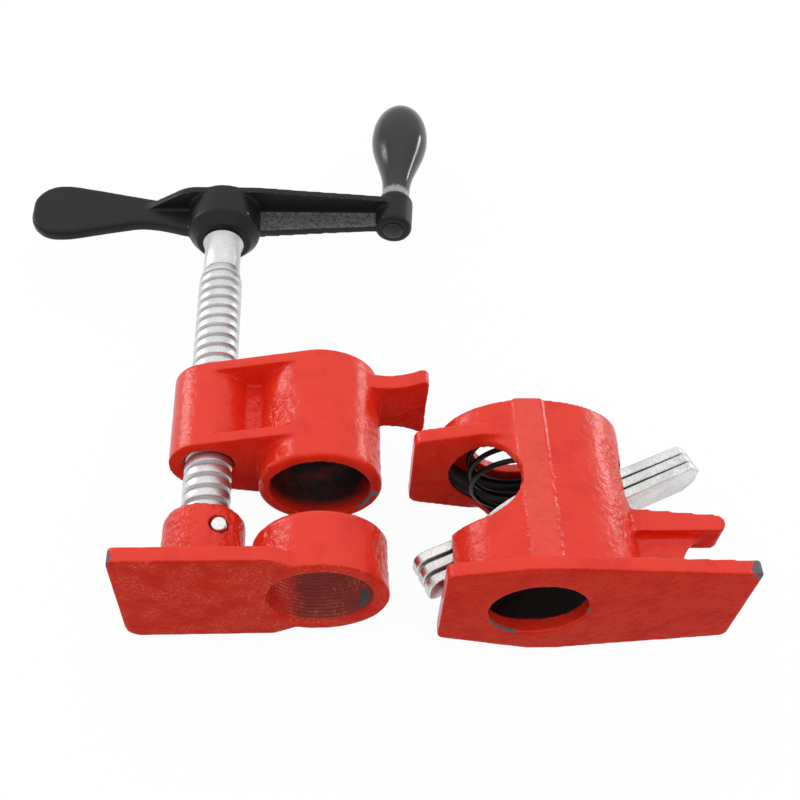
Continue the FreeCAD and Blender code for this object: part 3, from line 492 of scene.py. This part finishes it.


# %% [markdown]
# ## Red enamel on cast iron
#
# The paint is thick, and the sand shows through it. Two sizes of relief are bumped: an orange
# peel of about two millimetres, and tight pebbles where the casting was left rough. It was sprayed
# from above and behind, so it is glossy there, and the walls that look forwards caught a satin
# coat; a mix of two shaders holds both. Pale dots on those forward walls and inside the jaw's bore
# are painted glints. The edges are painted paler, partly for paint worn thin and partly as a
# painted highlight, and the paint is chipped to grey iron at a few corners. Deep in the bores there
# is little paint and much shadow, and that shadow is painted in: their walls, and those of the tail
# jaw's cavity, are painted nearly black. The right-hand part of the jaw's bore is a darker red. The
# tail jaw's top band is painted paler, as a painted highlight.

# %% Red enamel
RED = colour(0.78, 0.030, 0.010)
DEEP_RED = colour(0.70, 0.020, 0.008)
# A paler red for painted glints and painted highlights, and for paint worn thin on the edges.
PALE_RED_WEAR_AND_SHEEN = colour(0.88, 0.16, 0.12)
IRON = colour(0.12, 0.125, 0.135)
# Near black for the deep bores and the tail jaw's cavity: painted shade.
PIT_SHADE = colour(0.014, 0.005, 0.005)
# A darker red for the right-hand part of the jaw's bore.
DARKER_BORE_RED = colour(0.26, 0.030, 0.020)
GLOSSY = 0.38
SATIN = 0.02
TOOL_STEP = 1.1 * MM


class RedEnamel(Coat):
    """Red enamel, to which a casting's dark hollows, mostly painted shade, and its chips are added before it
    is sealed.
    """

    def __init__(self, piece, place=Matrix(), glint_share=0.16):
        super().__init__(piece, "red_enamel", place)
        self.sags = self.noise(9 * MM, 2)
        self.peel = self.noise(2.3 * MM, 1.5)
        self.grit = self.noise(0.8 * MM, 2)
        self.satin = self.step(self.forwards, 0.35, 0.8)
        red = self.mix(self.step(self.sags, 0.45, 0.75), RED, DEEP_RED)
        # Pale dots on the walls that look forwards are painted glints.
        painted_glints = self.step(self.noise(0.9 * MM, 4, 0.7), 0.5, 0.62) * self.step(self.sags, 0.58, 0.44)
        self.painted_glints = painted_glints * glint_share
        red = self.mix(self.painted_glints * self.satin, red, PALE_RED_WEAR_AND_SHEEN)
        # Convex edges are painted paler: paint worn thin there, and a painted highlight.
        worn_and_lit_edges = self.edges(self.grit, 0.53, 0.59) * self.step(self.sags, 0.4, 0.55) * 0.4
        self.red = self.mix(worn_and_lit_edges, red, PALE_RED_WEAR_AND_SHEEN)
        self.height = self.peel * 0.6 + self.grit * 0.22
        self.dull = 0.2 + self.peel * 0.16

    def pebbles(self, *spots):
        """Tight pebbles round some spots."""
        stones = self.noise(1.9 * MM, 2, 0.5)
        rough = sum(self.step(self.vector("DISTANCE", self.place, where, output="Value"), reach, reach * 0.4)
                    for where, reach in spots)
        self.height = self.height + self.step(stones, 0.3, 0.7) * rough * 0.8

    def hollow(self, share, dark):
        """A bore or cavity whose walls are painted darker: painted shade in the head and the tail jaw, a
        darker red in the jaw's bore.
        """
        self.red = self.mix(share, self.red, dark)
        self.dull = self.dull + share * 0.3

    def rim(self, radius):
        """One within half a millimetre of a bore's front edge, with a ragged border."""
        away = self.node("ShaderNodeMath", {"operation": "ABSOLUTE"}, {0: self.radius - radius})
        return self.step(away + self.depth.math("MAXIMUM", self.depth, 0) + (self.grit - 0.5) * (2 * MM),
                         1.1 * MM, 0.8 * MM)

    def seal(self, bare):
        """Bare the iron where the paint has come off, and finish the surface."""
        sockets = {"Base_Color": self.mix(bare, self.red, IRON), "Roughness": self.dull + bare * 0.2,
                   "Metallic": bare * 0.5, "Normal": self.bump(self.height - bare * 0.8, 0.4 * MM, 0.75)}
        glossy = self.shader(Specular_IOR_Level=GLOSSY, **sockets)
        satin = self.shader(Specular_IOR_Level=SATIN, **sockets)
        self.surface(self.node("ShaderNodeMixShader", {}, {0: self.satin, 1: glossy, 2: satin}))


head_red = RedEnamel(head_casting)
head_red.pebbles((spot(27, 30, -4), 12 * MM), (spot(-19, 24, 5), 8 * MM), (spot(-12, 20, 14), 9 * MM),
                 (spot(17, 12, 6), 10 * MM))
# The head's socket turns near black with depth: painted shade.
head_red.hollow(head_red.step(head_red.radius, 15 * MM, 14.7 * MM)
                * head_red.step(head_red.depth, 0.6 * MM, 6 * MM), PIT_SHADE)
head_red.seal(head_red.near(spot(13.4, 0, -7), 3.6 * MM) * head_red.rim(15 * MM)
              + head_red.near(spot(15.6, 0.4, -2.5), 1.6 * MM))

jaw_red = RedEnamel(jaw_casting, glint_share=0.75)
jaw_red.pebbles((spot(-33, -17, 8), 17 * MM), (spot(-12, -27, 10), 9 * MM), (spot(17, -26, 8), 10 * MM))
in_bore = jaw_red.facing_axis(15.2 * MM)
turning = jaw_red.depth * (2 * math.pi / TOOL_STEP)
jaw_red.height = jaw_red.height + turning.math("SINE", turning) * in_bore * 0.25
# The right-hand part of the jaw's bore is painted a darker red.
jaw_red.hollow(in_bore * jaw_red.step(jaw_red.right + jaw_red.sags * (5 * MM), -9 * MM, -3 * MM)
               * jaw_red.step(jaw_red.depth, -35.6 * MM, -33 * MM), DARKER_BORE_RED)
# Pale dots inside the jaw's bore are painted glints.
jaw_red.red = jaw_red.mix(in_bore * jaw_red.painted_glints * 0.7, jaw_red.red, PALE_RED_WEAR_AND_SHEEN)
jaw_red.seal(jaw_red.near(spot(-27.2, -19.8, 10.5), 0.8 * MM)
             + jaw_red.near(spot(-55.6, -33.2, 20.8), 2.3 * MM)
             + jaw_red.near(spot(12.6, -31, -8), 2.6 * MM) * in_bore)

tail_red = RedEnamel(tail_casting, TAIL_PLACE, glint_share=0.2)
tail_red.pebbles((spot(0, 14, 21), 12 * MM), (spot(0, 32, 21), 13 * MM), (spot(27, 22, 9), 11 * MM),
                 (spot(27, 42, 9), 12 * MM))
# The tail jaw's cavity walls are painted near black: painted shade.
tail_red.hollow(tail_red.facing_axis(28 * MM) * tail_red.step(tail_red.depth, 4.6 * MM, 7 * MM)
                * tail_red.step(tail_red.depth, 54 * MM, 53.4 * MM), PIT_SHADE)
# The tail jaw's top band is painted paler: a painted highlight where it faces the light.
crown_sheen = (tail_red.between(tail_red.right, -5.5 * MM, 3 * MM, 1.2 * MM)
         * tail_red.step(tail_red.up, 20 * MM, 20.6 * MM)
         * tail_red.step(tail_red.depth, 5 * MM, 6 * MM) * (0.12 + tail_red.peel * 0.25))
tail_red.red = tail_red.mix(crown_sheen, tail_red.red, PALE_RED_WEAR_AND_SHEEN)
tail_red.seal(tail_red.near(spot(57, 2, 19.6), 3.2 * MM)
              + tail_red.rim(13.7 * MM) * (tail_red.near(spot(-9.4, 0.5, -9.9), 7 * MM)
                                           + tail_red.near(spot(13.7, 0, -1), 1.6 * MM)))

# %% [markdown]
# ## Black enamel
#
# The crank's paint is thinner: dark and satin, with the grain of the sand showing on the web,
# whose upward face is painted a lighter grey as painted light. Its rims are painted lighter, partly
# from wear where a hand reaches and partly as a painted highlight. The knob was polished before it
# was dipped, so it has the same colour with a smoother coat, and its foot is painted light grey.
# The rivet's peened end was painted over with the crank.

# %% Black enamel
BLACK = colour(0.0115, 0.012, 0.0135)
# A lighter grey for the rims: wear, and a painted highlight.
RUBBED_AND_LIT_GREY = colour(0.17, 0.17, 0.17)
# A lighter grey for the web's upward face: its sand grain, and painted light.
SANDY_LIT_GREY = colour(0.13, 0.13, 0.13)
FOOT_GREY = colour(0.4, 0.4, 0.4)


def black_enamel(piece, place, gloss, shine, grain, on_crank):
    """Black enamel; on_crank is 1 on the crank and 0 on the knob, whose foot is painted light grey instead.
    """
    coat = Coat(piece, "black_enamel", place)
    sand = coat.noise(0.9 * MM, 3, 0.6)
    waves = coat.noise(5 * MM, 2)
    # Rims are painted lighter: partly wear, partly a painted highlight.
    rubbed_and_lit_rims = coat.edges(sand, 0.535, 0.6) * on_crank
    # The web's upward face is painted a lighter, grainy grey: painted light.
    lit_web = (coat.between(coat.up, 0.8 * MM, 1.7 * MM, 0.2 * MM) * coat.step(coat.upwards, 0.5, 0.8)
           * coat.between(coat.right, 13 * MM, 52 * MM, 2 * MM) * on_crank)
    foot = coat.step(coat.depth + sand * (3 * MM), 127 * MM, 124.5 * MM) * (1 - on_crank)
    black = coat.mix(rubbed_and_lit_rims, BLACK, RUBBED_AND_LIT_GREY)
    black = coat.mix(lit_web * (0.35 + coat.step(sand, 0.35, 0.65) * 0.65), black, SANDY_LIT_GREY)
    black = coat.mix(foot * 0.8, black, FOOT_GREY)
    coat.surface(coat.shader(Base_Color=black, Roughness=gloss + waves * 0.12 + rubbed_and_lit_rims * 0.1,
                             Normal=coat.bump(sand * grain + waves * 0.4, 0.2 * MM, 0.6),
                             Specular_IOR_Level=shine))


black_enamel(crank_casting, SCREW_PLACE, gloss=0.3, shine=0.22, grain=0.7, on_crank=1.0)
black_enamel(knob, KNOB_PLACE, gloss=0.1, shine=0.5, grain=0.05, on_crank=0.0)

# %% [markdown]
# ## Zinc, stamped steel and spring wire
#
# The bare metals differ in colour and in their marks. The screw is bright zinc, painted a dull
# grey in the roots of its thread as painted shade. The plates are grainy on their faces and painted
# black round the pipe's hole as painted shade deep in the tail jaw, and the wire is a near-black
# steel.

# %% Metals
def metal(piece, place, light, dark, gloss, grain_size, grain_depth, shade_and_paint=None, shade_and_paint_colour=BLACK):
    """A bare metal with a fine grain; shade_and_paint takes the coat and gives the share that is darkened,
    which is painted shade in the thread's roots and the plates' holes and black paint on the rivet's end.
    """
    coat = Coat(piece, "metal", place)
    grain = coat.noise(grain_size, 3, 0.6)
    cloud = coat.noise(6 * MM, 2)
    tone = coat.mix(coat.step(grain + cloud * 0.6, 0.65, 0.95), light, dark)
    gloss = gloss + grain * 0.15
    bright = 1.0
    if shade_and_paint:
        share = shade_and_paint(coat)
        bright = 1 - share
        tone = coat.mix(share, tone, shade_and_paint_colour)
        gloss = gloss + share * 0.2
    coat.surface(coat.shader(Base_Color=tone, Roughness=gloss, Metallic=bright,
                             Normal=coat.bump(grain, grain_depth, 0.5)))


def shaded_grooves(coat):
    """One at the root of the thread, which is painted darker as painted shade."""
    return coat.step(coat.radius, 6.6 * MM, 6.25 * MM) * coat.step(coat.depth, 84 * MM, 82 * MM)


def at_peen(coat):
    """One on the rivet's end behind the arm, which is painted black with the crank."""
    return coat.step(coat.depth, 108 * MM, 107 * MM)


def shaded_pipe_hole(coat):
    """One on a plate's hole, which is painted black as painted shade deep in the tail jaw."""
    return coat.step(coat.radius, 15.6 * MM, 15 * MM)


metal(screw, SCREW_PLACE, light=colour(0.74, 0.745, 0.75), dark=colour(0.60, 0.605, 0.61), gloss=0.34,
      grain_size=0.5 * MM, grain_depth=0.012 * MM,
      shade_and_paint=shaded_grooves, shade_and_paint_colour=colour(0.36, 0.365, 0.37))
metal(rivet, KNOB_PLACE, light=colour(0.7, 0.7, 0.69), dark=colour(0.45, 0.45, 0.45), gloss=0.25,
      grain_size=0.8 * MM, grain_depth=0.03 * MM, shade_and_paint=at_peen)
metal(pin, SCREW_PLACE, light=colour(0.9, 0.9, 0.9), dark=colour(0.75, 0.75, 0.75), gloss=0.3,
      grain_size=0.6 * MM, grain_depth=0.03 * MM)
for plate in plates:
    metal(plate, TAIL_PLACE, light=colour(0.8, 0.8, 0.79), dark=colour(0.58, 0.58, 0.58), gloss=0.28,
          grain_size=0.5 * MM, grain_depth=0.05 * MM, shade_and_paint=shaded_pipe_hole)
metal(spring, TAIL_PLACE, light=colour(0.025, 0.027, 0.025), dark=colour(0.012, 0.013, 0.012), gloss=0.35,
      grain_size=0.4 * MM, grain_depth=0.02 * MM)

# %% [markdown]
# ## The table
#
# The clamp lies on a seamless white table. Rays from the camera, and those that come by a
# reflection, see nearly all of it as plain white, while the little that is left still shows a
# faint shadow. Light that bounces off the table meets a darker grey, so the undersides stay deep.

# %% Table
FLOOR = cad_lowest.z
FLOOR_HALF = 8.0
SEEN_WHITE = 0.96
SEEN_PAINT = 0.95
SHADOW_GREY = 0.4

floor_form = bmesh.new()
bmesh.ops.create_grid(floor_form, x_segments=1, y_segments=1, size=FLOOR_HALF)
bmesh.ops.translate(floor_form, verts=floor_form.verts, vec=(0, 0, FLOOR))
floor_mesh = bpy.data.meshes.new("floor")
floor_form.to_mesh(floor_mesh)
floor_form.free()
floor = bpy.data.objects.new("floor", floor_mesh)
bpy.context.scene.collection.objects.link(floor)

white_table = bpy.data.materials.new("white_table")
table = Finish(white_table)
seen = sum(table.node("ShaderNodeLightPath", {}, {}, f"Is {ray} Ray")
           for ray in ("Camera", "Glossy", "Transmission"))
paint = table.mix(table.step(seen, 0, 1), colour(SHADOW_GREY, SHADOW_GREY, SHADOW_GREY),
                  colour(SEEN_PAINT, SEEN_PAINT, SEEN_PAINT))
card = table.node("ShaderNodeBsdfDiffuse", {}, {"Color": paint})
glow = table.node("ShaderNodeEmission", {}, {"Color": colour(1, 1, 1), "Strength": 1.0})
both = table.node("ShaderNodeMixShader", {}, {0: table.step(seen, 0, 1) * SEEN_WHITE, 1: card, 2: glow})
table.node("ShaderNodeOutputMaterial", {}, {"Surface": both})
floor.data.materials.append(white_table)

# %% [markdown]
# ## The light
#
# The studio is a white dome that grows brighter overhead and, a little, towards the back, so the
# tops are light and the front faces darker. Two small lamps low at the left and right draw the
# narrow streaks along the round barrels.

# %% Light
DOME_LEVEL = 0.58
DOME_OVERHEAD = 0.6
DOME_BEHIND = 0.15
LIT_SPOT = Vector((0.02, 0.02, 0))

world = bpy.data.worlds.new("studio")
bpy.context.scene.world = world
studio = Finish(world)
looking = studio.node("ShaderNodeTexCoord", output="Generated")
upwards = studio.node("ShaderNodeSeparateXYZ", {}, {"Vector": looking}, "Z")
backwards = studio.node("ShaderNodeSeparateXYZ", {}, {"Vector": looking}, "Y")
walls = studio.node("ShaderNodeBackground", {}, {"Color": colour(1, 1, 1),
                                                 "Strength": DOME_LEVEL + upwards * DOME_OVERHEAD
                                                 + backwards * DOME_BEHIND})
studio.node("ShaderNodeOutputWorld", {}, {"Surface": walls})


def lamp(name, place, width, height, power):
    """A soft oblong lamp at a place, turned to the clamp."""
    data = bpy.data.lights.new(name, "AREA")
    data.shape = "RECTANGLE"
    data.size = width
    data.size_y = height
    data.energy = power
    shining = bpy.data.objects.new(name, data)
    bpy.context.scene.collection.objects.link(shining)
    shining.location = place
    shining.rotation_euler = (LIT_SPOT - Vector(place)).to_track_quat("-Z", "Y").to_euler()


lamp("left", (-0.58, 0.42, 0.18), width=0.05, height=0.34, power=0.8)
lamp("right", (0.65, 0.42, 0.045), width=0.2, height=0.08, power=0.6)

# %% [markdown]
# ## The camera
#
# The camera stands where the photograph was taken from, close above the jaws. Its place, turn and
# lens were fitted by least squares to the corners and rims of the three castings.

# %% Camera
CAMERA_PLACE = spot(0.298, -177.448, 285.579)
CAMERA_TURNS = (36.42734, -3.12432, -2.45009)
LENS = 51.228

camera_data = bpy.data.cameras.new("camera")
camera_data.lens = LENS
camera_data.clip_start = 0.01
camera = bpy.data.objects.new("camera", camera_data)
bpy.context.scene.collection.objects.link(camera)
camera.location = CAMERA_PLACE
camera.rotation_euler = [math.radians(turn) for turn in CAMERA_TURNS]
bpy.context.scene.camera = camera

# %% [markdown]
# ## Colours and the end
#
# Colours are shown as they are.

# %% Colours and the end
bpy.context.scene.view_settings.view_transform = "Standard"
